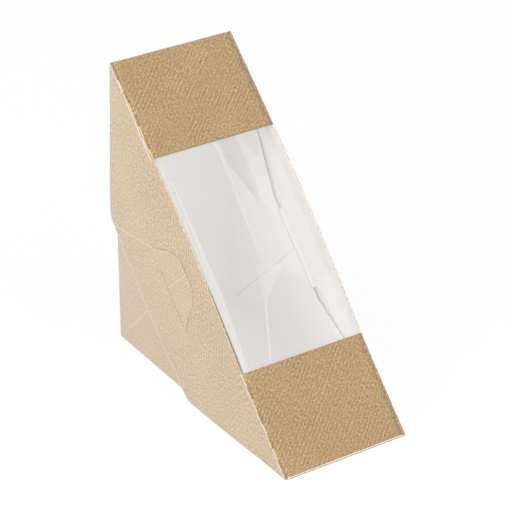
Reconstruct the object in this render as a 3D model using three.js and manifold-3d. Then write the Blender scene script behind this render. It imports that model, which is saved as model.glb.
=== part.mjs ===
// A wedge-shaped board carton for a cut sandwich: an upright back, a flat base and a sloping
// windowed lid, whose side flaps are locked by a tab of the tray that comes out through a slit.
import * as THREE from 'three';
import { mergeVertices } from 'three/addons/utils/BufferGeometryUtils.js';
import Module from 'manifold-3d';

const wasm = await Module();
wasm.setup();

// Driving dimensions, in millimetres. The back-to-base fold is called the corner, and "reach"
// is a distance from it along the line that halves its right angle.
const legLength = 123; // height of the back, and depth of the base
const packWidth = 55; // across both side flaps at their folds
const boardThickness = 0.5;
const filmThickness = 0.2;
const layerGap = 0.3; // clearance between one layer and the next
const foldRadius = 0.9; // outside of a fold of the tray
const topBandLength = 42; // board above the window, down the slope
const windowLength = 89;
const glueMargin = 8; // film glued behind the board round the window
const filmBend = 1.8; // outside radius where the film turns down inside a flap
const faceBow = 2.5; // how far the lid bows out
const bowRunOut = 7; // the lid is straight again this far past the window
const flapBulge = 3; // how far a side flap stands out at its middle
const bulgeReach = 25; // depth below the slope at which a flap is fully out
const panelBulge = 2.2; // how far the tray's side stands out at the slit
const flapReach = 40; // cut edge of the flap
const flapCornerRadius = 5; // where the cut edge meets the legs
const flapTipRadius = 0.8; // at the two ends of the slope
const slitReach = 64;
const slitLength = 42;
const slitEndWidth = 0.3;
const tabReach = 79.7;
const tabRootWidth = 35;
const tabTipWidth = 18.4; // between the sides, where they would meet the tip
const tabTipRadius = 9;
const tabRootDepth = 3.2; // the tab starts this far before the slit
const shoulderWidth = 44; // the tray's side beside the tab
const shoulderRadius = 3;
const waistInset = 18.7; // the tray's side, between shoulder and tip, from the leg
const waistDrop = 37.6; // the same point, from the leg's end
const waistRadius = 12;
const perforationPitch = 10; // cuts along the fold between band and flap
const perforationCut = 5;
const perforationStart = 8;
const perforationDepth = 0.6;
const toothPitch = 2.5; // torn edge of the flap beside the window
const toothDepth = 0.5;

const slopeLength = legLength * Math.SQRT2;
const halfSlope = slopeLength / 2;
const windowEnd = topBandLength + windowLength;
const bowLength = windowEnd + bowRunOut;
const halfWidth = packWidth / 2;
const layerStep = boardThickness + layerGap;
const trayHalfWidth = halfWidth - layerStep; // over the tray's sides, inside the flaps

const kraft = new THREE.MeshStandardMaterial({ color: 0xcbb48d, roughness: 0.85 });
const kraftTray = new THREE.MeshStandardMaterial({ color: 0xc8b494, roughness: 0.85 });
const clearFilm = new THREE.MeshStandardMaterial({
  color: 0xf1f2f2, roughness: 0.12, transparent: true, opacity: 0.35,
});

// Height of the bowed lid above the straight slope, by distance down the slope: a sine arch.
function faceRise(along) {
  const share = THREE.MathUtils.clamp(along / bowLength, 0, 1);
  return faceBow * Math.sin(Math.PI * share) ** 1.15;
}

// How far a flap stands out, by distance down the slope and depth below it.
function flapOut(along, depth) {
  const share = THREE.MathUtils.clamp(along / slopeLength, 0, 1);
  const down = THREE.MathUtils.clamp(depth / bulgeReach, 0, 1);
  return flapBulge * Math.sin(Math.PI * share) * Math.sin(Math.PI / 2 * down);
}

// How far the tray's side stands out, by reach and by offset from the halving line: nothing at
// either leg, and growing towards the slit.
function panelOut(reach, offset) {
  const share = Math.max(0, 1 - (offset / Math.max(reach, 1)) ** 2);
  return panelBulge * share * Math.min(reach / slitReach, 1) ** 2;
}

function solid(geometry) {
  const bare = geometry.clone();
  bare.deleteAttribute('normal');
  bare.deleteAttribute('uv');
  const merged = mergeVertices(bare, 1e-5);
  return new wasm.Manifold(new wasm.Mesh({
    numProp: 3,
    vertProperties: new Float32Array(merged.attributes.position.array),
    triVerts: new Uint32Array(merged.index.array),
  }));
}

function mesh(name, manifold, material) {
  const { vertProperties, triVerts } = manifold.getMesh();
  const geometry = new THREE.BufferGeometry();
  geometry.setAttribute('position', new THREE.BufferAttribute(new Float32Array(vertProperties), 3));
  geometry.setIndex(Array.from(triVerts));
  geometry.computeVertexNormals();
  const made = new THREE.Mesh(geometry, material);
  made.name = name;
  return made;
}

// A solid from closed rings of points, joined one to the next and capped at both ends. The caps
// are cut into triangles in the plane given by two of the coordinates, such as 'yz'.
function loft(rings, plane) {
  const count = rings[0].length;
  const points = rings.flat();
  const flat = rings[0].map((point) => new THREE.Vector2(point[plane[0]], point[plane[1]]));
  const cap = THREE.ShapeUtils.triangulateShape(flat, []);
  const last = (rings.length - 1) * count;
  const faces = [
    ...cap.map(([a, b, c]) => [a, b, c]),
    ...cap.map(([a, b, c]) => [last + a, last + c, last + b]),
  ];
  for (let ring = 0; ring < rings.length - 1; ring += 1) {
    for (let i = 0; i < count; i += 1) {
      const a = ring * count + i;
      const b = ring * count + (i + 1) % count;
      faces.push([a, a + count, b], [b, a + count, b + count]);
    }
  }
  return solid(facingOut(points, faces));
}

// A sheet of even thickness in Y over a grid of the other two coordinates, as thick walls of
// two surfaces joined round the rim. middle(a, b) gives the point halfway through it.
function sheet(aRange, bRange, aSteps, bSteps, thickness, middle) {
  const rings = [];
  for (let j = 0; j <= bSteps; j += 1) {
    const b = THREE.MathUtils.lerp(...bRange, j / bSteps);
    const row = [];
    for (let i = 0; i <= aSteps; i += 1) {
      row.push(middle(THREE.MathUtils.lerp(...aRange, i / aSteps), b));
    }
    const shifted = (by) => row.map((point) => point.clone().setY(point.y + by));
    rings.push([...shifted(-thickness / 2), ...shifted(thickness / 2).reverse()]);
  }
  return loft(rings, 'xy');
}

// Triangles of a closed surface, turned over together if they face inwards.
function facingOut(points, faces) {
  const volume = faces.reduce((sum, [a, b, c]) => (
    sum + points[a].dot(points[b].clone().cross(points[c]))), 0);
  const turned = volume > 0 ? faces : faces.map(([a, b, c]) => [a, c, b]);
  const geometry = new THREE.BufferGeometry().setFromPoints(points);
  geometry.setIndex(turned.flat());
  return geometry;
}

// An outline through corners [x, y, radius], each rounded by a true arc.
function outline(corners) {
  const points = corners.flatMap(([x, y, radius = 0], i) => {
    const corner = new THREE.Vector2(x, y);
    if (!radius) return [corner];
    const towards = (other) => new THREE.Vector2(other[0], other[1]).sub(corner).normalize();
    const before = towards(corners.at(i - 1));
    const after = towards(corners[(i + 1) % corners.length]);
    const half = Math.acos(THREE.MathUtils.clamp(before.dot(after), -1, 1)) / 2;
    const centre = before.clone().add(after).setLength(radius / Math.sin(half)).add(corner);
    const start = before.multiplyScalar(radius / Math.tan(half)).add(corner);
    const end = after.multiplyScalar(radius / Math.tan(half)).add(corner);
    const turn = Math.sign(start.clone().sub(centre).cross(end.clone().sub(centre)));
    const steps = Math.max(3, Math.ceil((Math.PI - 2 * half) / 0.3));
    return Array.from({ length: steps + 1 }, (_, k) => (
      start.clone().rotateAround(centre, turn * (Math.PI - 2 * half) * k / steps)));
  });
  return new THREE.Shape(points);
}

// A prism of a shape. along is the axis it runs on: the shape then lies in XZ for 'y', YZ for
// 'x' and XY for 'z', and it is centred on the other plane unless it is given a start and an end.
function prism(shape, along, length, start = -length / 2) {
  const geometry = new THREE.ExtrudeGeometry(shape, { depth: length, bevelEnabled: false });
  const [x, y, z] = [[1, 0, 0], [0, 1, 0], [0, 0, 1]].map((axis) => new THREE.Vector3(...axis));
  const basis = { x: [y, z, x], y: [x, z, y.clone().negate()], z: [x, y, z] }[along];
  geometry.translate(0, 0, start);
  geometry.applyMatrix4(new THREE.Matrix4().makeBasis(...basis));
  return solid(geometry);
}

// The folded block of the tray: square, with its back, base and sides at a distance inside the
// outer faces, and with the corner and the folds along the legs rounded.
function block(inset, radius) {
  const side = trayHalfWidth - inset;
  const far = legLength * 1.2;
  const profile = outline([[inset, inset, radius], [far, inset], [far, far], [inset, far]]);
  const plan = outline([[inset, -side, radius], [far, -side], [far, side], [inset, side, radius]]);
  const section = outline([[-side, inset, radius], [side, inset, radius], [side, far], [-side, far]]);
  return prism(profile, 'y', 2 * side)
    .intersect(prism(plan, 'z', 2 * far))
    .intersect(prism(section, 'x', 2 * far));
}

// A point of the side view, from its reach and its offset towards the back leg.
function fromCorner(reach, offset) {
  return [(reach - offset) / Math.SQRT2, (reach + offset) / Math.SQRT2];
}

// Side view of the tray: both legs, and between them the free edge of its sides, waisted and
// shouldered beside the tab, with the notch that the tab's root fills.
function trayOutline() {
  const legEnd = legLength - layerStep * Math.SQRT2;
  const rootHalf = tabRootWidth / 2 + layerGap;
  const rootReach = slitReach - tabRootDepth - layerGap;
  const upper = [
    [...fromCorner(rootReach, rootHalf)],
    [...fromCorner(slitReach, rootHalf)],
    [...fromCorner(slitReach, shoulderWidth / 2), shoulderRadius],
    [waistInset, legLength - waistDrop, waistRadius],
    [boardThickness, legEnd - boardThickness],
    [0, legEnd],
  ];
  const lower = upper.slice(0, 5).reverse().map(([x, z, radius]) => [z, x, radius]);
  return outline([[0, 0], [legLength, 0], [legLength, boardThickness], ...lower, ...upper]);
}

function tray() {
  const lip = foldRadius + 0.5;
  const far = legLength * 1.1;
  const wall = block(0, foldRadius).subtract(block(boardThickness, foldRadius - boardThickness));
  const legs = outline([[0, 0], [far, 0], [far, lip], [lip, lip], [lip, far], [0, far]]);
  const inFolds = outline([[foldRadius, foldRadius], [far, foldRadius], [foldRadius, far]]);
  const middle = trayHalfWidth - boardThickness / 2;
  const sides = [-1, 1].map((side) => sheet(
    [0, halfSlope], [-halfSlope, halfSlope], 10, 30, boardThickness,
    (reach, offset) => {
      const [x, z] = fromCorner(reach, offset);
      return new THREE.Vector3(x, side * (middle + panelOut(reach, offset)), z);
    },
  ).intersect(prism(inFolds, 'y', 2 * packWidth)));
  return wall.intersect(prism(legs, 'y', 2 * packWidth))
    .add(sides[0]).add(sides[1])
    .intersect(prism(trayOutline(), 'y', 2 * packWidth));
}

// The locking tab, in a frame at the corner with X along the halving line. It leaves the plane
// of the tray's side, climbs through the slit at 45 degrees and lies on the outside of the flap.
function lockTab(side) {
  const rootReach = slitReach - tabRootDepth;
  const slitFar = slitReach + layerStep;
  const rootHalf = tabRootWidth / 2;
  const shape = outline([
    [rootReach, -rootHalf], [slitReach, -rootHalf], [tabReach, -tabTipWidth / 2, tabTipRadius],
    [tabReach, tabTipWidth / 2, tabTipRadius], [slitReach, rootHalf], [rootReach, rootHalf],
  ]);
  const body = sheet([rootReach, tabReach], [-rootHalf, rootHalf], 22, 8, boardThickness,
    (reach, offset) => {
      const onPanel = trayHalfWidth - boardThickness / 2 + panelOut(reach, offset);
      const onFlap = halfWidth + layerGap + boardThickness / 2
        + flapOut(halfSlope - offset, halfSlope - reach);
      const climb = onFlap - Math.max(0, slitFar - reach);
      return new THREE.Vector3(reach, side * Math.max(onPanel, climb), offset);
    });
  return body.intersect(prism(shape, 'y', 3 * packWidth));
}

// Side view of a flap in the lid's frame: X down the slope, Z out of it. Its upper edge follows
// the bowed lid, with cuts below the bands and torn teeth beside the window.
function flapOutline() {
  const inset = layerGap * Math.SQRT2;
  const tip = inset + layerStep + flapTipRadius / Math.tan(Math.PI / 8);
  const cutDepth = halfSlope - flapReach;
  const points = [];
  const step = toothPitch / 2;
  const edge = (along) => faceRise(along) - layerStep;
  const bandEdge = (from, to) => {
    points.push([from, edge(from)]);
    for (let cut = from + perforationStart; cut + perforationCut < to; cut += perforationPitch) {
      const end = cut + perforationCut;
      points.push([cut, edge(cut)], [cut, edge(cut) - perforationDepth]);
      points.push([end, edge(end) - perforationDepth], [end, edge(end)]);
    }
    points.push([to, edge(to)]);
  };
  bandEdge(tip, topBandLength);
  for (let k = 0, at = topBandLength + layerGap; at < windowEnd - layerGap; k += 1, at += step) {
    points.push([at, faceRise(at) - (k % 2) * toothDepth]);
  }
  bandEdge(windowEnd, slopeLength - tip);
  const legs = [
    [slopeLength - inset - layerStep, -layerStep, flapTipRadius],
    [slopeLength - inset - cutDepth, -cutDepth, flapCornerRadius],
    [inset + cutDepth, -cutDepth, flapCornerRadius],
    [inset + layerStep, -layerStep, flapTipRadius],
  ];
  return outline([...points, ...legs]);
}

// The slit that the tab comes through: as wide as the climbing tab needs, and closing to a
// knife cut at its two ends.
function slitOutline() {
  const rootHalf = tabRootWidth / 2 + 2 * layerGap;
  const closed = slitEndWidth / 2;
  const half = [[rootHalf, layerStep], [slitLength / 2, closed]];
  const corners = [
    ...half.map(([offset, wide]) => [offset, wide]),
    ...half.toReversed().map(([offset, wide]) => [offset, -wide]),
    ...half.map(([offset, wide]) => [-offset, -wide]),
    ...half.toReversed().map(([offset, wide]) => [-offset, wide]),
  ];
  return outline(corners.map(([offset, wide]) => [halfSlope + offset, slitReach + wide - halfSlope]));
}

function sideFlap(side) {
  const margin = faceBow + boardThickness;
  const depth = halfSlope - flapReach;
  const plate = sheet([0, slopeLength], [-depth - margin, margin], 34, 13, boardThickness,
    (along, out) => new THREE.Vector3(
      along, side * (halfWidth - boardThickness / 2 + flapOut(along, -out)), out));
  return plate
    .intersect(prism(flapOutline(), 'y', 3 * packWidth))
    .subtract(prism(slitOutline(), 'y', 3 * packWidth));
}

// A strip of the lid in its own frame: a section in YZ carried down the slope along the bow.
function strip(section, from, to, steps) {
  const rings = Array.from({ length: steps + 1 }, (_, k) => {
    const along = THREE.MathUtils.lerp(from, to, k / steps);
    return section.map(({ x, y }) => new THREE.Vector3(along, x, y + faceRise(along)));
  });
  return loft(rings, 'yz');
}

// A band of board across the lid, its long edges rounded where they fold down to the flaps.
function band(from, to) {
  const under = -boardThickness;
  const section = outline([
    [-halfWidth, under], [halfWidth, under],
    [halfWidth, 0, boardThickness * 0.9], [-halfWidth, 0, boardThickness * 0.9],
  ]).getPoints();
  return strip(section, from, to, 12);
}

// Side view of the lid in its own frame: above the base and in front of the back's outer face.
function lidOutline() {
  const tall = 4 * (faceBow + layerStep);
  const baseEnd = slopeLength - layerStep * Math.SQRT2;
  return outline([[-tall, tall], [tall, -tall], [baseEnd - tall, -tall], [baseEnd + tall, tall]]);
}

// The window film: one sheet under both bands, with its sides turned down inside the flaps.
function windowFilm() {
  const top = -layerStep;
  const side = halfWidth - layerStep;
  const foot = top - glueMargin;
  const inner = side - filmThickness;
  const bend = filmBend - filmThickness;
  const section = outline([
    [-side, foot], [-inner, foot], [-inner, top - filmThickness, bend],
    [inner, top - filmThickness, bend], [inner, foot], [side, foot],
    [side, top, filmBend], [-side, top, filmBend],
  ]).getPoints();
  return strip(section, topBandLength - glueMargin, windowEnd + glueMargin, 22);
}

const corner = -legLength / 2;

const trayGroup = new THREE.Group();
trayGroup.position.x = corner;
trayGroup.add(mesh('carton_tray', tray(), kraftTray));

const tabGroup = new THREE.Group();
tabGroup.position.x = corner;
tabGroup.rotation.y = -Math.PI / 4;
tabGroup.add(mesh('lock_tab_left', lockTab(-1), kraftTray));
tabGroup.add(mesh('lock_tab_right', lockTab(1), kraftTray));

const lidGroup = new THREE.Group();
lidGroup.position.set(corner, 0, legLength);
lidGroup.rotation.y = Math.PI / 4;
const lidSide = prism(lidOutline(), 'y', 3 * packWidth);
lidGroup.add(mesh('lid_top_band', band(-boardThickness, topBandLength).intersect(lidSide), kraft));
lidGroup.add(mesh('lid_bottom_band', band(windowEnd, slopeLength).intersect(lidSide), kraft));
lidGroup.add(mesh('window_film', windowFilm(), clearFilm));
lidGroup.add(mesh('side_flap_left', sideFlap(-1), kraft));
lidGroup.add(mesh('side_flap_right', sideFlap(1), kraft));

const sandwichBox = new THREE.Group();
sandwichBox.add(trayGroup, tabGroup, lidGroup);

export default sandwichBox;
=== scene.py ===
# Looks of the windowed sandwich wedge: kraft board, white inside, with a clear film window.
import math

import bpy
import numpy as np
from mathutils import Matrix, Vector


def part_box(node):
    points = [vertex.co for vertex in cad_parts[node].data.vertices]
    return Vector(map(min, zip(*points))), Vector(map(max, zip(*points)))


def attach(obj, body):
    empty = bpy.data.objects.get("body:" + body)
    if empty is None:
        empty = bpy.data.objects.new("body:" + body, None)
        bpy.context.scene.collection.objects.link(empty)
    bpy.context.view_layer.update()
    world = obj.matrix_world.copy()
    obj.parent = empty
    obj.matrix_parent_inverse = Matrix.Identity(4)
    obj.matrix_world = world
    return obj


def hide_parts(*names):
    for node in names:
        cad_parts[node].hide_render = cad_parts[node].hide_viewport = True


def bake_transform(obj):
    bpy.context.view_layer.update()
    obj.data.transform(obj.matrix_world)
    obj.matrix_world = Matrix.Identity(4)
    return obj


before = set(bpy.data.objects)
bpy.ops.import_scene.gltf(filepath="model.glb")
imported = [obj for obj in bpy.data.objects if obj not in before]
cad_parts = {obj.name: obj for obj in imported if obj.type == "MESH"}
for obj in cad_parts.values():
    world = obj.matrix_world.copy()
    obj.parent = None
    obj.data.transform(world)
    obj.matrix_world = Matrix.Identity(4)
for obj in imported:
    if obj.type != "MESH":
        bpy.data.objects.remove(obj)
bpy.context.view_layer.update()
mm = 0.001
print("stage: frame loaded")

# Everything below is worked out in millimetres and turned into metres when a mesh is made.
bandLow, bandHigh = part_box("lid_top_band")
trayLow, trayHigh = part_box("carton_tray")
carton = {
    "leg": (trayHigh[0] - trayLow[0]) / mm,     # back height and base depth
    "width": (bandHigh[1] - bandLow[1]) / mm,   # over both side flaps at their folds
    "board": 0.45,         # thickness of the board
    "layer": 0.8,          # one board and the clearance beside it
    "topBand": 42.0,       # board above the window
    "window": 89.0,
    "faceBow": 2.5, "bowRunOut": 7.0, "bowPower": 1.15,
    "flapBulge": 3.0, "bulgeReach": 25.0,
    "panelBulge": 2.2, "panelPower": 1.4,
    "slitReach": 64.0,     # from the inner corner to the slit
    "trayInset": 0.5,      # the tray's sides lie this far inside the flaps
}
leg, width, board, layer = (carton[k] for k in ("leg", "width", "board", "layer"))
root2 = math.sqrt(2)
slope = leg * root2
halfSlope = slope / 2
halfWidth = width / 2
trayHalf = halfWidth - carton["trayInset"]
windowEnd = carton["topBand"] + carton["window"]
nick = 0.01                # between two columns on either side of a sudden change


# The lid's bow: half a sine wave down to a little past the window, raised to a power.
def faceRise(along):
    share = np.clip(along / (windowEnd + carton["bowRunOut"]), 0, 1)
    return carton["faceBow"] * np.sin(np.pi * share) ** carton["bowPower"]


# How far a flap stands out: a sine along the slope times a quarter sine of the depth below it.
def flapOut(along, depth):
    share = np.clip(along / slope, 0, 1)
    down = np.clip(depth / carton["bulgeReach"], 0, 1)
    return carton["flapBulge"] * np.sin(np.pi * share) * np.sin(np.pi / 2 * down)


# How far the tray's side stands out: zero on both legs, growing as a power of the reach from
# the inner corner until the slit.
def panelOut(reach, offset):
    share = np.clip(1 - (offset / np.maximum(reach, 1)) ** 2, 0, 1)
    grown = np.minimum(reach / carton["slitReach"], 1) ** carton["panelPower"]
    return carton["panelBulge"] * share * grown


# A slow unevenness of the sheet: three sine waves that cross at odd angles.
def waver(a, b, depth=0.05):
    return depth * (np.sin(0.13 * a + 0.07 * b) + 0.7 * np.sin(0.05 * a - 0.19 * b + 1)
                    + 0.5 * np.sin(0.31 * a + 0.23 * b + 2.3))


# A point of the lid: along is down the slope, out is square to it, y is across the carton.
def onLid(along, out, y):
    along, out, y = np.broadcast_arrays(along, out, y)
    return np.stack([-leg / 2 + (along + out) / root2, y, leg - (along - out) / root2], -1)


# A point of the side view: x from the back, z from the ground.
def onSide(x, z, y):
    x, z, y = np.broadcast_arrays(x, z, y)
    return np.stack([x - leg / 2, y, z], -1)


# Grid indices to triangles, two for each cell.
def gridTriangles(rows, columns, start):
    ids = np.arange(rows * columns).reshape(rows, columns) + start
    a, b, c, d = ids[:-1, :-1], ids[1:, :-1], ids[1:, 1:], ids[:-1, 1:]
    return np.concatenate([np.stack([a, b, c], -1).reshape(-1, 3),
                           np.stack([a, c, d], -1).reshape(-1, 3)])


# A thin board from grids of its outer face. The grids are welded where they meet, the inner
# face is the outer one moved back along its normals, and a rim closes every free edge.
# sheetMaps give each grid point's place in the flat, unfolded sheet.
def boardPiece(name, grids, sheetMaps, finishes, thickness=board, flip=False):
    loose = np.concatenate([g.reshape(-1, 3) for g in grids])
    sheetPos = np.concatenate([m.reshape(-1, 2) for m in sheetMaps])
    starts = np.cumsum([0] + [g.shape[0] * g.shape[1] for g in grids])
    corners = np.concatenate([gridTriangles(*g.shape[:2], s) for g, s in zip(grids, starts)])
    if flip:
        corners = corners[:, ::-1]
    points, weld = np.unique(np.round(loose, 4), axis=0, return_inverse=True)
    weld = weld.reshape(-1)
    faces = weld[corners]
    sound = ((faces[:, 0] != faces[:, 1]) & (faces[:, 1] != faces[:, 2])
             & (faces[:, 2] != faces[:, 0]))
    faces, corners = faces[sound], corners[sound]
    p0, p1, p2 = (points[faces[:, k]] for k in range(3))
    facing = np.cross(p1 - p0, p2 - p0)
    normals = np.zeros_like(points)
    for k in range(3):
        np.add.at(normals, faces[:, k], facing)
    normals /= np.maximum(np.linalg.norm(normals, axis=1, keepdims=True), 1e-12)
    count = len(points)
    edges = np.concatenate([faces[:, [0, 1]], faces[:, [1, 2]], faces[:, [2, 0]]])
    edgeCorners = np.concatenate([corners[:, [0, 1]], corners[:, [1, 2]], corners[:, [2, 0]]])
    keys = edges[:, 0] * count + edges[:, 1]
    free = ~np.isin(keys, edges[:, 1] * count + edges[:, 0])
    a, b = edges[free, 0], edges[free, 1]
    ca, cb = edgeCorners[free, 0], edgeCorners[free, 1]
    rim = np.concatenate([np.stack([b, a, a + count], -1),
                          np.stack([b, a + count, b + count], -1)])
    rimCorners = np.concatenate([np.stack([cb, ca, ca], -1), np.stack([cb, ca, cb], -1)])
    allPoints = np.concatenate([points, points - normals * thickness])
    allFaces = np.concatenate([faces, faces[:, ::-1] + count, rim])
    allCorners = np.concatenate([corners, corners[:, ::-1], rimCorners])
    slots = np.repeat([0, 1, 2], [len(faces), len(faces), len(rim)])
    return addMesh(name, allPoints, allFaces, finishes, slots, sheetPos[allCorners])


# A mesh object from points in millimetres. Cut edges, in the third slot, stay flat shaded.
def addMesh(name, points, faces, finishes, slots=None, sheetPos=None, smooth=True):
    mesh = bpy.data.meshes.new(name)
    mesh.vertices.add(len(points))
    mesh.vertices.foreach_set("co", (points * mm).astype(np.float32).ravel())
    mesh.loops.add(faces.size)
    mesh.loops.foreach_set("vertex_index", faces.astype(np.int32).ravel())
    mesh.polygons.add(len(faces))
    mesh.polygons.foreach_set("loop_start", np.arange(0, faces.size, faces.shape[1], dtype=np.int32))
    for finish in finishes:
        mesh.materials.append(finish)
    if slots is not None:
        mesh.polygons.foreach_set("material_index", slots.astype(np.int32))
    if sheetPos is not None:
        flatMap = mesh.uv_layers.new(name="sheet")
        flatMap.data.foreach_set("uv", sheetPos.astype(np.float32).ravel())
    mesh.update(calc_edges=True)
    rounded = np.full(len(faces), smooth)
    if slots is not None:
        rounded &= slots != 2
    mesh.polygons.foreach_set("use_smooth", rounded)
    mesh.validate()
    obj = bpy.data.objects.new(name, mesh)
    bpy.context.scene.collection.objects.link(obj)
    return obj


# Shader maths as expressions: a Value wraps one output socket, and every operator adds a node.
class Value:
    def __init__(self, graph, socket):
        self.graph, self.socket = graph, socket

    def maths(self, operation, first, second=None):
        return self.graph.add("Math", {"operation": operation}, {0: first, 1: second})

    def __add__(self, other):
        return self.maths("ADD", self, other)

    def __radd__(self, other):
        return self.maths("ADD", other, self)

    def __sub__(self, other):
        return self.maths("SUBTRACT", self, other)

    def __rsub__(self, other):
        return self.maths("SUBTRACT", other, self)

    def __mul__(self, other):
        return self.maths("MULTIPLY", self, other)

    def __rmul__(self, other):
        return self.maths("MULTIPLY", other, self)

    def __pow__(self, other):
        return self.maths("POWER", self, other)

    def __abs__(self):
        return self.maths("ABSOLUTE", self)

    def least(self, other):
        return self.maths("MINIMUM", self, other)

    def most(self, other):
        return self.maths("MAXIMUM", self, other)

    def sine(self):
        return self.maths("SINE", self)

    # From 0 to 1 while this value goes from low to high, with soft ends.
    def ramp(self, low, high):
        return self.graph.add("MapRange", {"interpolation_type": "SMOOTHSTEP"},
                              {"Value": self, "From Min": low, "From Max": high})

    # One at zero, falling to nothing at a distance.
    def near(self, reach):
        return 1 - abs(self).ramp(0.0, reach)


# The nodes of one material or world. add() makes any node: its settings first, then the values
# or links of its sockets.
class Graph:
    def __init__(self, owner, output="OutputMaterial"):
        owner.use_nodes = True
        self.owner, self.tree = owner, owner.node_tree
        self.tree.nodes.clear()
        self.output = self.tree.nodes.new("ShaderNode" + output)

    def add(self, kind, settings=None, sockets=None, output=0):
        node = self.tree.nodes.new("ShaderNode" + kind)
        for key, value in (settings or {}).items():
            if key == "stops":
                self.setStops(node.color_ramp, value)
            else:
                setattr(node, key, value)
        for key, value in (sockets or {}).items():
            if isinstance(value, Value):
                self.tree.links.new(value.socket, node.inputs[key])
            elif value is not None:
                node.inputs[key].default_value = value
        return Value(self, node.outputs[output])

    def setStops(self, ramp, stops):
        while len(ramp.elements) < len(stops):
            ramp.elements.new(0.5)
        for element, (place, colour) in zip(ramp.elements, stops):
            element.position = place
            element.color = (*colour, 1)

    def mixColour(self, share, first, second):
        first, second = (c if isinstance(c, Value) else (*c, 1) for c in (first, second))
        return self.add("Mix", {"data_type": "RGBA", "clamp_factor": True},
                        {0: share, 6: first, 7: second}, output=2)

    def axes(self, vector):
        return [self.add("SeparateXYZ", {}, {0: vector}, output=k) for k in range(3)]

    # Noise over a plane, at its own level z so that two patterns differ.
    def noise(self, x, y, detail=3.0, roughness=0.55, z=0.0):
        place = self.add("CombineXYZ", {}, {0: x, 1: y, 2: z})
        return self.add("TexNoise", {}, {"Vector": place, "Scale": 1.0, "Detail": detail,
                                         "Roughness": roughness})

    def surface(self, shader):
        self.tree.links.new(shader.socket, self.output.inputs["Surface"])
        return self.owner


# The nodes of a new material, and the two axes of the flat sheet in millimetres.
def newFinish(name):
    g = Graph(bpy.data.materials.new(name))
    u, v, _ = g.axes(g.add("UVMap", {"uv_map": "sheet"}))
    return g, u, v


# A screen colour from 0 to 255 as the linear values that shaders take.
def fromScreen(red, green, blue):
    return tuple(((c / 255 + 0.055) / 1.055) ** 2.4 if c > 10 else c / 255 / 12.92
                 for c in (red, green, blue))


# Kraft board: short fine streaks and ribs pressed at 45 degrees to the lid's fold, dark and
# pale fibres, slow clouds, and pale lines where the board is creased or cut. Past the folds,
# on the carton's sides, a pale whitish colour is mixed in: a painted sheen, where the sides
# catch more light. Scales are in turns per millimetre.
kraftLook = {
    "pale": fromScreen(212, 184, 144), "middle": fromScreen(174, 144, 98),
    "dark": fromScreen(130, 98, 58), "crease": fromScreen(232, 222, 204),
    # painted sheen on the carton's sides: its colour, its strength and its soft edge
    "paintedSheenColour": fromScreen(204, 195, 178), "paintedSideSheen": 0.34, "paintedSheenEdge": 0.4,
    "ribPitch": 1.5, "ribWander": 7.0, "ribShare": 0.09,
    "patchScale": 0.09, "grainScale": 3.8, "grainShare": 1.15,
    "streakScale": (2.2, 0.95), "streakShare": 0.95, "wanderScale": (0.3, 0.1),
    "cloudScale": 0.05, "cloudShare": 0.16,
    "relief": 0.13, "creaseRelief": 0.2, "roughness": 0.62, "sheen": 0.6,
}


# The ribs are a sine wave across the diagonal whose phase wanders, stronger in some patches.
# The last two arguments place and weigh the painted sheen past the folds.
def kraft(name, lines, contrast, ribbing, paintedSheenFrom=-0.1, paintedSheenShare=1.0):
    g, u, v = newFinish(name)
    look = kraftLook
    across, down = (u + v) * (1 / root2), (u - v) * (1 / root2)
    wander = g.noise(across * look["wanderScale"][0], down * look["wanderScale"][1], 2.0) - 0.5
    ribs = (across * (2 * math.pi / look["ribPitch"]) + wander * look["ribWander"]).sine()
    patches = g.noise(u * look["patchScale"], v * look["patchScale"], 2.0, 0.5, 3.0)
    patches = patches.ramp(0.38, 0.66) * 0.8 + 0.2
    streakAcross, streakDown = look["streakScale"]
    streaks = g.noise(across * streakAcross, down * streakDown, 2.0, 0.6) - 0.5
    grain = g.noise(u * look["grainScale"], v * look["grainScale"], 2.0, 0.7, 5.0) - 0.5
    clouds = g.noise(u * look["cloudScale"], v * look["cloudScale"], 2.0, 0.5, 9.0) - 0.5
    texture = ribs * patches * (look["ribShare"] * ribbing) + streaks * look["streakShare"] \
        + grain * look["grainShare"]
    tone = texture * contrast + clouds * look["cloudShare"] + 0.5
    stops = [(0.2, look["dark"]), (0.5, look["middle"]), (0.8, look["pale"])]
    colour = g.add("ValToRGB", {"stops": stops}, {0: tone})
    # Painted sheen: past the folds the colour is mixed towards a pale whitish one.
    paintedSheenMask = (abs(u) - halfWidth).ramp(paintedSheenFrom, paintedSheenFrom + look["paintedSheenEdge"])
    colour = g.mixColour(paintedSheenMask * (look["paintedSideSheen"] * paintedSheenShare), colour, look["paintedSheenColour"])
    line = lines(g, u, v)
    colour = g.mixColour(line, colour, look["crease"])
    bump = g.add("Bump", {}, {"Strength": 0.6, "Distance": look["relief"] * mm,
                              "Height": texture - line * look["creaseRelief"]})
    return g.surface(g.add("BsdfPrincipled", {}, {
        "Base Color": colour, "Roughness": streaks * 0.12 + look["roughness"],
        "Specular IOR Level": 0.5, "Sheen Weight": look["sheen"], "Sheen Roughness": 0.5,
        "Normal": bump}))


# White lining of the board, faintly mottled. It is given a faint glow, painted light that
# brightens the white inside.
liningLook = {
    "light": fromScreen(252, 251, 248), "shade": fromScreen(244, 242, 238),
    # crease: painted shade in the tray's creases and the cut round its tab
    # glow: painted light from the lining itself
    "crease": fromScreen(150, 142, 134), "creaseShadeShare": 1.6, "glow": 0.068, "mottleScale": 0.35,
}


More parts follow.
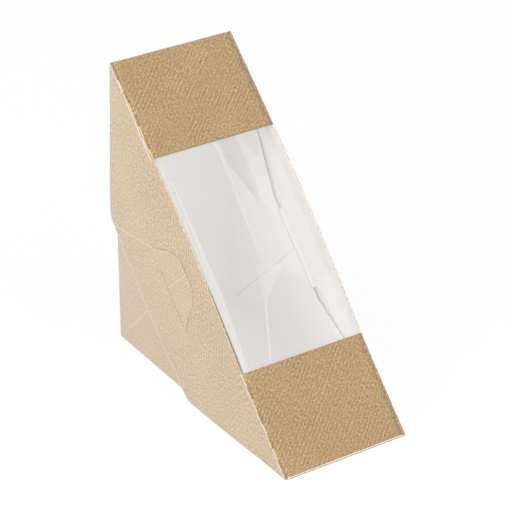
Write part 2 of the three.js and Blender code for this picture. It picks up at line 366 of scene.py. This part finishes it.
def whiteLining(name, lines=None):
    g, u, v = newFinish(name)
    mottle = g.noise(u * liningLook["mottleScale"], v * liningLook["mottleScale"])
    colour = g.mixColour(mottle, liningLook["shade"], liningLook["light"])
    # painted shade along the tray's creases and the cut round its tab
    if lines:
        creaseShade = lines(g, u, v) * liningLook["creaseShadeShare"]
        colour = g.mixColour(creaseShade, colour, liningLook["crease"])
    # the emission is painted light
    return g.surface(g.add("BsdfPrincipled", {}, {
        "Base Color": colour, "Roughness": mottle * 0.1 + 0.5,
        "Emission Color": colour, "Emission Strength": liningLook["glow"]}))


# The cut edge of the board, where the pulp shows between the two faces. The sides' copy is
# paler: pale cut fibres, with painted sheen to match the sides' kraft.
edgeLook = {
    "bandPulp": fromScreen(168, 142, 104), "bandWhite": fromScreen(196, 180, 152),
    "sidePulpWithSheen": fromScreen(212, 193, 160), "sideWhiteWithSheen": fromScreen(236, 224, 200),
    "fibreScale": 1.2,
}


def cutEdge(name, dark, light):
    g, u, v = newFinish(name)
    pulp = g.noise(u * edgeLook["fibreScale"], v * edgeLook["fibreScale"], 2.0).ramp(0.4, 0.6)
    return g.surface(g.add("BsdfPrincipled", {}, {
        "Base Color": g.mixColour(pulp, dark, light), "Roughness": pulp * 0.1 + 0.8}))


# Clear film: a light haze over a glossy sheet. The facets are painted reflections and painted
# shade: places where the slack film leans another way and looks lighter or darker. Each is a
# strength, the width of its soft edge and an outline, in millimetres across from the near flap
# and down from the lid's fold.
filmLook = {
    "haze": fromScreen(250, 249, 247), "alpha": 0.24, "roughness": 0.08, "shine": 2.7,
    "ripple": 0.06, "rippleScale": (0.05, 0.02), "flapFade": 0.85,
    "paintedLightFacets": [
        (0.10, 0.5, [(27.2, 41), (28.4, 41), (28.2, 57), (26.6, 87), (25.8, 87), (27.0, 57)]),
        (0.07, 3.0, [(27.6, 45), (38.4, 41), (44, 62), (47, 106), (26.0, 96)]),
        (-0.10, 0.8, [(28.8, 50), (31.0, 41), (36.8, 41), (37.2, 62), (34.8, 71.5)]),
        (0.07, 1.4, [(23.0, 94), (33.5, 96.5), (20.6, 108.5)]),
        (0.11, 0.5, [(20.8, 107), (21.4, 108), (13.8, 131), (12.6, 131)]),
        (0.08, 0.6, [(52.2, 41), (53.2, 41), (53.0, 60)]),
        (0.16, 0.6, [(3.6, 48), (4.9, 100), (3.4, 132), (1.8, 132), (3.0, 100)]),
        (0.10, 0.4, [(2.0, 52), (2.6, 90), (1.4, 120)]),
        (0.15, 8.0, [(45, 108), (58, 102), (60, 140), (46, 140)]),
    ],
    # painted shade of the gap beside the near flap, where the film pulls away from it
    "gapShade": [(-1.6, 78), (0.7, 100), (1.1, 132), (-1.6, 132)],
    "gapShadeColour": fromScreen(72, 40, 18), "gapShadeAlpha": 0.62,
}


def clearFilm():
    g, u, v = newFinish("clearFilm")
    across = u + halfWidth
    rippleAcross, rippleDown = filmLook["rippleScale"]
    ripple = g.noise(u * rippleAcross, v * rippleDown)
    haze = (ripple - 0.5) * filmLook["ripple"] + filmLook["alpha"]
    # painted reflections and painted shade in the film's haze
    for strength, soft, outline in filmLook["paintedLightFacets"]:
        haze = haze + patch(across, v, outline, soft) * strength
    haze = haze * (1 - (u - halfWidth).ramp(-1.0, 0.5) * filmLook["flapFade"])
    # painted shade beside the near flap: dark brown and denser
    gapShade = patch(across, v, filmLook["gapShade"], 0.3)
    colour = g.mixColour(gapShade, filmLook["haze"], filmLook["gapShadeColour"])
    bump = g.add("Bump", {}, {"Strength": 0.25, "Distance": 0.4 * mm, "Height": ripple})
    return g.surface(g.add("BsdfPrincipled", {}, {
        "Base Color": colour, "Roughness": filmLook["roughness"], "IOR": filmLook["shine"],
        "Specular IOR Level": 1.0, "Alpha": haze + gapShade * filmLook["gapShadeAlpha"], "Normal": bump}))


# One inside a convex outline, falling to nothing over a soft edge: the least of the soft steps
# across its sides. With more than four corners, its triangles about the first one are joined.
def patch(u, v, outline, soft):
    if len(outline) > 4:
        whole = patch(u, v, [outline[0], outline[1], outline[2]], soft)
        for k in range(2, len(outline) - 1):
            whole = whole.most(patch(u, v, [outline[0], outline[k], outline[k + 1]], soft))
        return whole
    edges = list(zip(outline, outline[1:] + outline[:1]))
    area = sum(x0 * y1 - x1 * y0 for (x0, y0), (x1, y1) in edges)
    inside = None
    for (x0, y0), (x1, y1) in edges:
        length = math.hypot(x1 - x0, y1 - y0) * math.copysign(1, area)
        runX, runY = (x1 - x0) / length, (y1 - y0) / length
        step = (v * runX - u * runY + (x0 * runY - y0 * runX)).ramp(-soft / 2, soft / 2)
        inside = step if inside is None else inside.least(step)
    return inside


flap = {
    "depth": 47.0,            # from the slope to the cut edge
    "cornerRadius": 8.0, "inset": -0.1,
    "slitLength": 37.0, "slitOpen": 0.3, "openLength": 35.4,
    "slitLift": 0.3, "liftDepth": 7.0, "liftLength": 19.0,   # the lips of the slit stand apart
    "creaseStart": 18.0, "creaseEnd": 35.9,   # from the middle of the slope
    "cutStart": 8.0, "cutLength": 5.0, "cutPitch": 10.0, "cutZone": 60.0,
    "toothPitch": 2.5, "toothDepth": 0.5, "toothSteps": 6,
    "foldRadius": 0.4, "foldLip": 1.2, "stripBend": 0.6,
    "cutGap": 0.05,           # open between band and flap where the fold is cut through
    "waver": 0.05, "waverRun": 6.0,
}

tab = {
    "rootDepth": 1.2, "reach": 79.7, "rootWidth": 35.0, "tipWidth": 18.4, "tipRadius": 9.0,
    "clearance": 0.03, "board": 0.25, "climb": 1.6,
}

# How strongly each pale line shows, from 0 to 1.
creaseLook = {"upper": 0.36, "lower": 0.08, "cutRim": 0.2, "fold": 0.8, "bisector": 0.24,
              "tabRim": 0.42}


# Creases of the flap: from each end of the slit to the end of the cut edge on that side, the
# fold beside the bands, and the rim of the cut edge. |u| is across the sheet, v down the slope.
def flapCreases(g, u, v):
    depth = abs(u) - halfWidth
    along = abs(v - halfSlope)
    slitDepth = halfSlope - carton["slitReach"]
    run = (depth - slitDepth) * (1 / (flap["depth"] - slitDepth))
    wanted = run * (flap["creaseEnd"] - flap["creaseStart"]) + flap["creaseStart"]
    pastSlit = depth.ramp(slitDepth - 3, slitDepth - 2.2)
    strength = (halfSlope - v).ramp(-5.0, 5.0) * creaseLook["upper"] + creaseLook["lower"]
    cutRim = (depth - flap["depth"]).near(0.8) * creaseLook["cutRim"]
    middle = (carton["topBand"] + windowEnd) / 2
    onBand = (abs(v - middle) - carton["window"] / 2).ramp(-0.5, 0.5)
    foldLine = depth.near(0.6) * onBand * creaseLook["fold"]
    return ((along - wanted).near(0.6) * pastSlit * strength).most(cutRim).most(foldLine)


# The pale line on the outer half of the lid's folds.
def lidCreases(g, u, v):
    return (abs(u) - halfWidth - 0.3).near(0.4) * creaseLook["fold"]


# Angle between the tab's tapering side and its middle line.
def tabLean():
    return math.atan2((tab["rootWidth"] - tab["tipWidth"]) / 2, tab["reach"] - carton["slitReach"])


# Centre of the circle that rounds the tab's side into its tip: its reach, and its distance from
# the middle line.
def tabTipCentre():
    cut = tab["tipRadius"] * math.tan((math.pi / 2 - tabLean()) / 2)
    return tab["reach"] - tab["tipRadius"], tab["tipWidth"] / 2 - cut


# The crease that halves the tray's side panel, from the corner out to the end of the tab, and
# the pale cut rim of the tab: a straight taper rounded into a circle and then a flat tip.
def trayCreases(g, u, v):
    x, z = abs(u) - halfWidth, v + leg
    reach, offset = (x + z) * (1 / root2), (x - z) * (1 / root2)
    bisector = offset.near(0.5) * x.ramp(0.5, 4.0) * creaseLook["bisector"]
    lean = tabLean()
    centreReach, centreOffset = tabTipCentre()
    pastRoot = reach - carton["slitReach"]
    taper = (abs(offset) - tab["rootWidth"] / 2) * math.cos(lean) + pastRoot * math.sin(lean)
    toCentre = ((reach - centreReach) ** 2.0 + (abs(offset) - centreOffset) ** 2.0) ** 0.5
    straight = taper.most(reach - tab["reach"])
    rounded = (toCentre - tab["tipRadius"]).least(straight)
    rim = straight.most(rounded).near(0.75) * pastRoot.ramp(0.5, 1.5) * creaseLook["tabRim"]
    return bisector.most(rim)


# Each copy sets where its painted sheen starts past the folds and how strong it is; on the flaps it
# covers the whole flap.
lidKraft = kraft("lidKraft", lidCreases, contrast=1.35, ribbing=0.8, paintedSheenFrom=0.05)
flapKraft = kraft("flapKraft", flapCreases, contrast=2.9, ribbing=0.8, paintedSheenFrom=-5.0, paintedSheenShare=0.78)
trayKraft = kraft("trayKraft", trayCreases, contrast=1.5, ribbing=0.45)
lining = whiteLining("whiteLining")
trayLining = whiteLining("trayLining", trayCreases)
bandEdge = cutEdge("cutEdge", edgeLook["bandPulp"], edgeLook["bandWhite"])
# the sides' cut edge is paler, partly from painted sheen
sideEdgeWithSheen = cutEdge("sideEdgeWithSheen", edgeLook["sidePulpWithSheen"], edgeLook["sideWhiteWithSheen"])
film = clearFilm()
print("stage: finishes made")


# Where the fold between a band and its flaps is cut through: true between the start and end of
# each cut, counted from the carton's tips at both ends of the slope.
def cutThrough(along):
    fromTip = np.minimum(along, slope - along) - flap["cutStart"]
    return (fromTip >= 0) & (np.mod(fromTip, flap["cutPitch"]) < flap["cutLength"])


# Places along a band, close together at every change between cut and fold.
def bandPlaces(start, end):
    tips = np.arange(flap["cutStart"], flap["cutZone"], flap["cutPitch"])
    marks = np.concatenate([tips, tips + flap["cutLength"]])
    marks = np.concatenate([marks, slope - marks])
    near = np.concatenate([marks - nick, marks + nick])
    places = np.concatenate([np.arange(start, end, 1.0), [end], near])
    return np.unique(places[(places >= start) & (places <= end)])


# A band of the lid: flat across, following the bow. Its long edge runs out to the side where
# the fold is cut through, and stops short where the folded strip takes over.
bandShape = {"waver": 0.02, "levelRun": 4.0}   # uneven in the middle, level beside the folds


def lidBand(name, start, end):
    along = bandPlaces(start, end)[:, None]
    stripEdge = halfWidth - flap["foldLip"]
    edge = np.where(cutThrough(along), halfWidth - board - flap["cutGap"], stripEdge)
    y = np.linspace(-1, 1, 25)[None, :] * edge
    level = np.clip((stripEdge - np.abs(y)) / bandShape["levelRun"], 0, 1)
    grid = onLid(along, faceRise(along) + waver(along, y, bandShape["waver"]) * level, y)
    sheetMap = np.stack(np.broadcast_arrays(y, along), -1)
    return boardPiece(name, [grid], [sheetMap], [lidKraft, lining, bandEdge])


# The folded strip's cross-section: flat on the band, a quarter turn, and flat down the flap. It
# gives the distance across, the height over the band and the length of paper.
def foldPath():
    radius, lip = flap["foldRadius"], flap["foldLip"]
    turn = np.linspace(0, np.pi / 2, 7)
    flatRun = lip - radius
    away = [[halfWidth - lip], halfWidth - radius + radius * np.sin(turn), [halfWidth]]
    height = [[0], radius * np.cos(turn) - radius, [-lip]]
    paper = [[0], flatRun + radius * turn, [2 * flatRun + radius * np.pi / 2]]
    return [np.concatenate(part)[None, :] for part in (away, height, paper)]


# The folded strip between a band and one flap, a grid for each stretch where the fold isn't
# cut. Towards the tips it is no deeper than the flap is there.
def foldStrip(name, side, start, end):
    along = bandPlaces(start, end)
    folded = ~cutThrough(along)
    runs = np.split(np.arange(len(along)), np.flatnonzero(np.diff(folded.astype(int))) + 1)
    radius, lip = flap["foldRadius"], flap["foldLip"]
    pathY, pathHeight, paper = foldPath()
    grids, maps = [], []
    for run in runs:
        if not folded[run[0]] or len(run) < 2:
            continue
        v = along[run][:, None]
        tipDepth = np.maximum(np.minimum(v, slope - v) - flap["inset"] * root2, flap["cutGap"])
        down = np.maximum(pathHeight, -tipDepth)
        sunk = radius - np.minimum(-down, radius)
        turned = halfWidth - radius + np.sqrt(radius ** 2 - sunk ** 2)
        away = np.where(pathY < halfWidth - radius, pathY, turned)
        out = faceRise(v) + down
        y = side * (away + flapOut(v, -out) * (down < -radius * 0.99))
        grids.append(onLid(v, out, y))
        maps.append(np.stack(np.broadcast_arrays(side * (halfWidth - lip + paper), v), -1))
    return boardPiece(name, grids, maps, [lidKraft, lining, bandEdge], flip=side < 0)


# Columns of a flap down the slope: at every cut, and close together for the teeth.
def flapColumns():
    tipV = flap["inset"] * root2 + flap["foldLip"]
    start = carton["topBand"]
    step = flap["toothPitch"] / flap["toothSteps"]
    places = [bandPlaces(tipV, start), [start + nick],
              np.arange(start + 2 * nick, windowEnd - 2 * nick, step), [windowEnd - nick],
              bandPlaces(windowEnd, slope - tipV)]
    return np.unique(np.round(np.concatenate(places), 5))[:, None]


# Depth of a flap's two edges at each column. The upper edge has teeth beside the window and
# meets the strips beside the bands. The lower one follows the leg, rounds its corner and then
# runs along the cut edge.
def flapEdges(v):
    inset = flap["inset"] * root2
    cornerR = flap["cornerRadius"]
    fromTip = np.minimum(v, slope - v)
    tooth = np.abs(np.mod((v - carton["topBand"]) / flap["toothPitch"], 1) * 2 - 1)
    inWindow = (v > carton["topBand"] + nick / 2) & (v < windowEnd - nick / 2)
    top = np.where(cutThrough(v), flap["cutGap"], flap["foldLip"])
    top = np.where(inWindow, tooth * flap["toothDepth"], top) - faceRise(v)
    legEdge = np.maximum(fromTip - inset, top)
    cornerDepth = flap["depth"] - cornerR
    cornerV = inset + cornerDepth + cornerR * root2
    cornerArc = cornerDepth + np.sqrt(np.maximum(cornerR ** 2 - (fromTip - cornerV) ** 2, 0))
    bottom = np.where(fromTip < cornerV, cornerArc, flap["depth"])
    return top, np.where(fromTip < cornerV - cornerR / root2, legEdge, bottom)


# Half the slit's opening by the distance from its middle: level, closing at both ends.
def slitGap(offset):
    share = 1 - (offset / (flap["openLength"] / 2)) ** 8
    opened = flap["slitOpen"] * np.clip(share, 0.04, 1)
    return np.where(np.abs(offset) < flap["slitLength"] / 2, opened, 0)


# A side flap: columns down from the slope edge to the leg or cut edge, split at the slit, whose
# upper lip is pressed in and whose lower lip stands out, as bell curves.
def sideFlap(name, side):
    v = flapColumns()
    top, bottom = flapEdges(v)
    slitDepth = halfSlope - carton["slitReach"]
    offset = v - halfSlope
    opened = slitGap(offset)
    middle = np.minimum(slitDepth, top + 0.48 * (bottom - top))
    upper = np.linspace(0, 1, 24)[None, :]
    lower = np.linspace(0, 1, 26)[None, :]
    depths = [top + upper * (middle - opened - top),
              middle + opened + lower * (bottom - middle - opened)]
    grids, maps = [], []
    for lift, depth in zip((-flap["slitLift"], flap["slitLift"]), depths):
        lip = np.exp(-((depth - slitDepth) / flap["liftDepth"]) ** 2)
        lip = lift * lip * np.exp(-(offset / flap["liftLength"]) ** 4) * (opened > 0)
        uneven = waver(v, depth, flap["waver"]) * np.clip(depth / flap["waverRun"], 0, 1)
        y = halfWidth + flapOut(v, depth) + lip + uneven
        grids.append(onLid(v, -depth, side * y))
        maps.append(np.stack(np.broadcast_arrays(side * (halfWidth + depth), v), -1))
    return boardPiece(name, grids, maps, [flapKraft, lining, sideEdgeWithSheen], flip=side < 0)


# Where each band starts and ends down the slope, just short of the carton's tips.
bandRuns = {"Top": (0.3, carton["topBand"]), "Bottom": (windowEnd, slope - 0.3)}
sides = {"Left": -1, "Right": 1}
lidBands = {place: lidBand(f"lid{place}Band", *run) for place, run in bandRuns.items()}
sideFlaps = {word: sideFlap(f"sideFlap{word}", side) for word, side in sides.items()}
foldStrips = {}
for place, run in bandRuns.items():
    for word, side in sides.items():
        foldStrips[place, word] = foldStrip(f"fold{place}{word}", side, *run)
print("stage: lid and flaps made")


# Half the tab's width by its reach: straight, tapering, and rounded into a flat tip.
def tabProfile():
    slitReach = carton["slitReach"]
    half, radius = tab["rootWidth"] / 2, tab["tipRadius"]
    centreReach, centreOffset = tabTipCentre()
    turn = np.linspace(math.pi / 2 - tabLean(), 0, 14)
    arcReach = centreReach + radius * np.cos(turn)
    arcHalf = centreOffset + radius * np.sin(turn)
    straight = np.linspace(slitReach - tab["rootDepth"], slitReach, 8)[:-1]
    taper = np.linspace(slitReach, arcReach[0], 16)[:-1]
    taperHalf = half + (taper - slitReach) * (arcHalf[0] - half) / (arcReach[0] - slitReach)
    return (np.concatenate([straight, taper, arcReach]),
            np.concatenate([np.full_like(straight, half), taperHalf, arcHalf]))


# The locking tab: on the tray's side plane at its root, up a straight climb through the slit,
# and on the outside of the flap from there on, following the flap's bulge.
def lockTab(name, side):
    reach, half = (a[:, None] for a in tabProfile())
    offset = np.linspace(-1, 1, 33)[None, :] * half
    onPanel = trayHalf + panelOut(reach, offset)
    bulge = flapOut(halfSlope - offset, halfSlope - reach)
    onFlap = halfWidth + bulge + tab["clearance"] + tab["board"]
    start = carton["slitReach"] + flap["slitOpen"]
    y = np.maximum(onPanel, onFlap - tab["climb"] * np.maximum(0, start - reach))
    x, z = (reach - offset) / root2, (reach + offset) / root2
    sheetMap = np.stack([side * (halfWidth + x), z - leg], -1)
    return boardPiece(name, [onSide(x, z, side * y)], [sheetMap], [trayKraft, lining, sideEdgeWithSheen],
                      thickness=tab["board"], flip=side > 0)


lockTabs = {word: lockTab(f"lockTab{word}", side) for word, side in sides.items()}

tray = {
    "foldRadius": 0.5, "shoulderWidth": 44.0, "waistInset": 18.7, "waistDrop": 37.6,
    "notchGap": 0.1,          # beside the tab's root
    "cornerReach": 45.0,      # the sides widen to the flaps' width towards the inner corner
    "steps": 60, "fan": 261,
}


# Distance from the panel's inner corner to its free edge, by angle from the base leg: the
# crossing of each ray with the straight stretches between leg end, waist, shoulder and notch.
def panelEdge(angle):
    radius = tray["foldRadius"]
    slitReach = carton["slitReach"]
    half = tab["rootWidth"] / 2 + tray["notchGap"]
    stops = [(slitReach - tab["rootDepth"], 0), (slitReach - tab["rootDepth"], half),
             (slitReach, half + nick), (slitReach, tray["shoulderWidth"] / 2)]
    outline = [((reach - offset) / root2, (reach + offset) / root2) for reach, offset in stops]
    outline += [(tray["waistInset"], leg - tray["waistDrop"]),
                (radius, leg - layer * root2 - radius)]
    outline = [(x - radius, z - radius) for x, z in outline]
    mirrored = np.minimum(angle, np.pi / 2 - angle)
    rayX, rayZ = np.sin(mirrored), np.cos(mirrored)
    edge = np.zeros_like(angle)
    for (x0, z0), (x1, z1) in zip(outline[:-1], outline[1:]):
        inside = (mirrored <= math.atan2(x0, z0) + 1e-9) & (mirrored >= math.atan2(x1, z1) - 1e-9)
        across = rayX * (z1 - z0) - rayZ * (x1 - x0)
        hit = (x0 * (z1 - z0) - z0 * (x1 - x0)) / np.where(np.abs(across) < 1e-9, 1e-9, across)
        edge = np.where(inside, hit, edge)
    return edge


# The tray: back and base, the fold between them, and on each side a panel with its two folds
# and the round where all the folds meet at the corner.
def trayBoard():
    r = tray["foldRadius"]
    flat = trayHalf - r
    top = leg - layer * root2
    share = np.linspace(0, 1, tray["steps"])
    y = np.linspace(-flat, flat, 31)[None, :]
    turn = np.linspace(0, np.pi / 2, 7)
    phi, theta = turn[:, None], turn[None, :]
    backZ = (r + (top - r) * share)[:, None]
    baseX = (r + (leg - r) * share)[:, None]
    grids, maps = [], []

    # flip turns a grid over where its rows and columns run the other way round
    def put(grid, across, down, flip):
        sheetMap = np.stack(np.broadcast_arrays(across, down), -1)
        grids.append(grid[::-1] if flip else grid)
        maps.append(sheetMap[::-1] if flip else sheetMap)

    put(onSide(0.0, backZ, y), y, backZ - leg, False)
    put(onSide(baseX, 0.0, y), y, -leg - baseX, True)
    put(onSide(r - r * np.cos(phi), r - r * np.sin(phi), y), y, -leg + r - r * 2 * phi, True)
    for side in sides.values():
        out, away = r * np.sin(theta), r - r * np.cos(theta)
        foldAcross = side * (halfWidth - r + 2 * r * theta)
        z = r + (top - away - r) * share[:, None]
        put(onSide(away, z, side * (flat + out)), foldAcross, z - leg, side < 0)
        baseEnd = leg - (leg - top + r) * away / r
        x = r + (baseEnd - r) * share[:, None]
        put(onSide(x, away, side * (flat + out)), side * (halfWidth + away), x - leg, side > 0)
        corner = onSide(r - r * np.cos(phi) * np.cos(theta), r - r * np.sin(phi) * np.cos(theta),
                        side * (flat + r * np.sin(theta)))
        put(corner, foldAcross, -leg + r - 2 * r * phi, side > 0)
        angle = np.linspace(0, np.pi / 2, tray["fan"])[:, None]
        reach = share[None, :] * np.maximum(panelEdge(angle), 1.0)
        px, pz = r + reach * np.sin(angle), r + reach * np.cos(angle)
        bulge = panelOut((px + pz - 2 * r) / root2, (pz - px) / root2)
        put(onSide(px, pz, side * (trayHalf + bulge)), side * (halfWidth + px), pz - leg, side > 0)
    for grid in grids:
        fromCorner = (grid[..., 0] + leg / 2 + grid[..., 2]) / root2
        widened = np.clip(1 - fromCorner / tray["cornerReach"], 0, 1)
        grid[..., 1] *= 1 + widened * carton["trayInset"] / trayHalf
    return boardPiece("trayBoard", grids, maps, [trayKraft, trayLining, bandEdge])


trayPiece = trayBoard()
print("stage: tray made")


# The window film: flat across with a turn down inside each flap, following the bow, with slack
# folds in it. Each fold is a ridge along a line, falling off as a bell curve beside it.
filmShape = {
    "margin": 8.0, "thickness": 0.08,
    "nearBend": 1.8, "farBend": 0.5,   # radius of the turn down beside each flap
    "clearance": 0.06, "drop": 0.1, "glueRun": 5.0,   # it sinks under the bands over this run
    "slack": 0.45, "slackRim": 8.0,
    # ends across and down the window from its top left corner, half width, height
    "folds": [((27, 4), (25, 46), 2.2, 0.35), ((33, 8), (38, 34), 2.6, -0.4),
              ((38, 30), (30, 64), 2.0, 0.3), ((22, 70), (12, 92), 1.6, 0.25),
              ((44, 10), (40, 60), 3.5, 0.3), ((8, 20), (9, 80), 3.0, 0.2)],
}


# Height of the slack folds over the film, dying out towards the rim of the window.
def filmSlack(y, along):
    across = y + halfWidth
    down = along - carton["topBand"]
    height = np.zeros(np.broadcast(across, down).shape)
    for (x0, y0), (x1, y1), spreadOut, tall in filmShape["folds"]:
        runX, runY = x1 - x0, y1 - y0
        length = math.hypot(runX, runY)
        t = ((across - x0) * runX + (down - y0) * runY) / length ** 2
        side = ((across - x0) * runY - (down - y0) * runX) / length
        ends = np.exp(-np.clip(np.abs(t - 0.5) - 0.35, 0, None) ** 2 * 18)
        height = height + tall * np.exp(-(side / spreadOut) ** 2) * ends
    rim = np.clip(np.minimum(down, carton["window"] - down) / filmShape["slackRim"], 0, 1)
    rim = rim * np.clip((halfWidth - np.abs(y)) / filmShape["slackRim"], 0, 1)
    return height * rim * filmShape["slack"]


# Half the film's cross-section from its middle out: flat, a quarter turn, and down the flap.
def filmSide(bend):
    side = halfWidth - board - filmShape["clearance"]
    turn = np.linspace(0, np.pi / 2, 9)
    flatY = np.linspace(0, side - bend, 60)[:-1]
    drop = np.linspace(0, filmShape["margin"] - bend, 9)[1:]
    return (np.concatenate([flatY, side - bend + bend * np.sin(turn), np.full(8, side)]),
            np.concatenate([flatY * 0, bend * np.cos(turn) - bend, -bend - drop]))


# The film over the window and under the glued margins, from its cross-section and the bow.
def windowFilm():
    margin = filmShape["margin"]
    along = np.linspace(carton["topBand"] - margin, windowEnd + margin, 181)[:, None]
    nearY, nearOut = filmSide(filmShape["nearBend"])
    farY, farOut = filmSide(filmShape["farBend"])
    pathY = np.concatenate([-nearY[:0:-1], farY])[None, :]
    pathOut = np.concatenate([nearOut[:0:-1], farOut])[None, :]
    paper = np.sign(pathY) * (np.abs(pathY) - pathOut)
    inside = np.minimum(along - carton["topBand"], windowEnd - along)
    under = 1 - np.clip(inside / filmShape["glueRun"], 0, 1)
    level = faceRise(along) - filmShape["drop"] - (board - filmShape["drop"] / 2) * under
    out = level + pathOut + filmSlack(pathY, along) * (pathOut > -nick)
    y = pathY + np.sign(pathY) * flapOut(along, -out) * np.clip(-pathOut, 0, 1)
    sheetMap = np.stack(np.broadcast_arrays(paper, along), -1)
    return boardPiece("windowSheet", [onLid(along, out, y)], [sheetMap], [film, film, film],
                      thickness=filmShape["thickness"])


filmPiece = windowFilm()
print("stage: film made")


# The fold at the top of the back: up the back, round the tip, and down the lid.
topEdge = {
    "radius": 0.5, "lip": 1.5, "turn": 135.0, "overlap": 0.1,
    # where the fold starts and ends to follow the lid, from the carton's tip
    "bendFrom": (-0.3, 0, -1.4), "bendTo": (0.9, 0, -0.4),
}


def topFold():
    radius, lip = topEdge["radius"], topEdge["lip"]
    wholeTurn = math.radians(topEdge["turn"])
    arcEnd = leg - radius * math.tan(wholeTurn / 2)
    turn = np.linspace(0, wholeTurn, 12)[1:]
    backEnd = leg - layer * root2 - topEdge["overlap"]
    x = np.concatenate([[0, 0], radius - radius * np.cos(turn), [lip / root2]])
    z = np.concatenate([[backEnd, arcEnd], arcEnd + radius * np.sin(turn), [leg - lip / root2]])
    paper = np.concatenate([[0], np.cumsum(np.hypot(np.diff(x), np.diff(z)))])
    ends = [trayHalf, halfWidth - flap["foldLip"]]
    widths = np.interp(np.arange(len(x)), [0, len(x) - 1], ends)
    y = np.linspace(-1, 1, 25)[None, :] * widths[:, None]
    sheetMap = np.stack(np.broadcast_arrays(y, (paper - paper[-1] + lip)[:, None]), -1)
    return boardPiece("lidFold", [onSide(x[:, None], z[:, None], y)], [sheetMap],
                      [lidKraft, lining, bandEdge])


foldPiece = topFold()
print("stage: top fold made")

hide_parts("carton_tray")
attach(trayPiece, "tray")
for word, side in sides.items():
    name = word.lower()
    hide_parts(f"lock_tab_{name}")
    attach(lockTabs[word], "tray")
    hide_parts(f"side_flap_{name}")
    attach(sideFlaps[word], f"flap_{name}")
    # each strip's transform is baked into its mesh
    for place in bandRuns:
        strip = foldStrips[place, word]
        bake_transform(strip)
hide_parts("lid_top_band")
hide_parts("lid_bottom_band")
for piece in lidBands.values():
    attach(piece, "lid")
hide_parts("window_film")
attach(filmPiece, "lid")
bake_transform(foldPiece)
print("stage: pieces set on the frame")

studio = {
    "camera": (0.6451, -0.4137, 0.4915), "target": (-0.00097, 0.0, 0.05765),
    "lens": 161.4, "sensor": 36.0, "roll": -0.37,
    "world": 0.52, "lampAim": (0.0, 0.0, 0.05),
    "key": {"place": (0.25, -1.1, 0.75), "size": 0.9, "power": 14.0},
    "fill": {"place": (1.1, 0.5, 0.9), "size": 1.0, "power": 5.0},
    "floorGrey": 0.9, "floorMix": 0.95, "floorHalf": 3000.0,
}


# Turns an object at a place so that it looks at another.
def lookAt(place, target):
    aim = (target - place).to_track_quat("-Z", "Y").to_matrix().to_4x4()
    return Matrix.Translation(place) @ aim


def makeCamera():
    data = bpy.data.cameras.new("studioCamera")
    data.lens = studio["lens"]
    data.sensor_width = studio["sensor"]
    data.clip_start, data.clip_end = 0.01, 20
    camera = bpy.data.objects.new("studioCamera", data)
    bpy.context.scene.collection.objects.link(camera)
    roll = Matrix.Rotation(math.radians(studio["roll"]), 4, "Z")
    camera.matrix_world = lookAt(Vector(studio["camera"]), Vector(studio["target"])) @ roll
    bpy.context.scene.camera = camera


def softLight(name, light):
    data = bpy.data.lights.new(name, "AREA")
    data.shape = "SQUARE"
    data.size = light["size"]
    data.energy = light["power"]
    lamp = bpy.data.objects.new(name, data)
    lamp.visible_glossy = False   # no bright square in the film
    bpy.context.scene.collection.objects.link(lamp)
    lamp.matrix_world = lookAt(Vector(light["place"]), Vector(studio["lampAim"]))


# Floor and surroundings are white to the camera, to glossy rays and through the film, while
# the light that falls on the object is set by the studio values alone.
def seenDirectly(g):
    camera, glossy, through = (g.add("LightPath", output=k) for k in (
        "Is Camera Ray", "Is Glossy Ray", "Is Transmission Ray"))
    return camera.most(glossy).most(through)


def makeStudio():
    scene = bpy.context.scene
    scene.view_settings.view_transform = "Standard"
    white, grey = (1, 1, 1, 1), (*[studio["floorGrey"]] * 3, 1)
    g = Graph(bpy.data.materials.new("paleFloor"))
    lit = g.add("BsdfDiffuse", {}, {"Color": grey})
    glow = g.add("Emission", {}, {"Color": white, "Strength": 1.0})
    share = seenDirectly(g) * studio["floorMix"]
    floorFinish = g.surface(g.add("MixShader", {}, {0: share, 1: lit, 2: glow}))
    corners = np.array([[-1, -1, 0], [1, -1, 0], [1, 1, 0], [-1, 1, 0]]) * studio["floorHalf"]
    floor = addMesh("floor", corners, np.array([[0, 1, 2, 3]]), [floorFinish], smooth=False)
    scene.world = bpy.data.worlds.new("studioWorld")
    g = Graph(scene.world, "OutputWorld")
    dim = g.add("Background", {}, {"Color": white, "Strength": studio["world"]})
    bright = g.add("Background", {}, {"Color": white, "Strength": 1.0})
    g.surface(g.add("MixShader", {}, {0: seenDirectly(g), 1: dim, 2: bright}))
    softLight("keyLight", studio["key"])
    softLight("fillLight", studio["fill"])


makeCamera()
makeStudio()
print("stage: studio made")
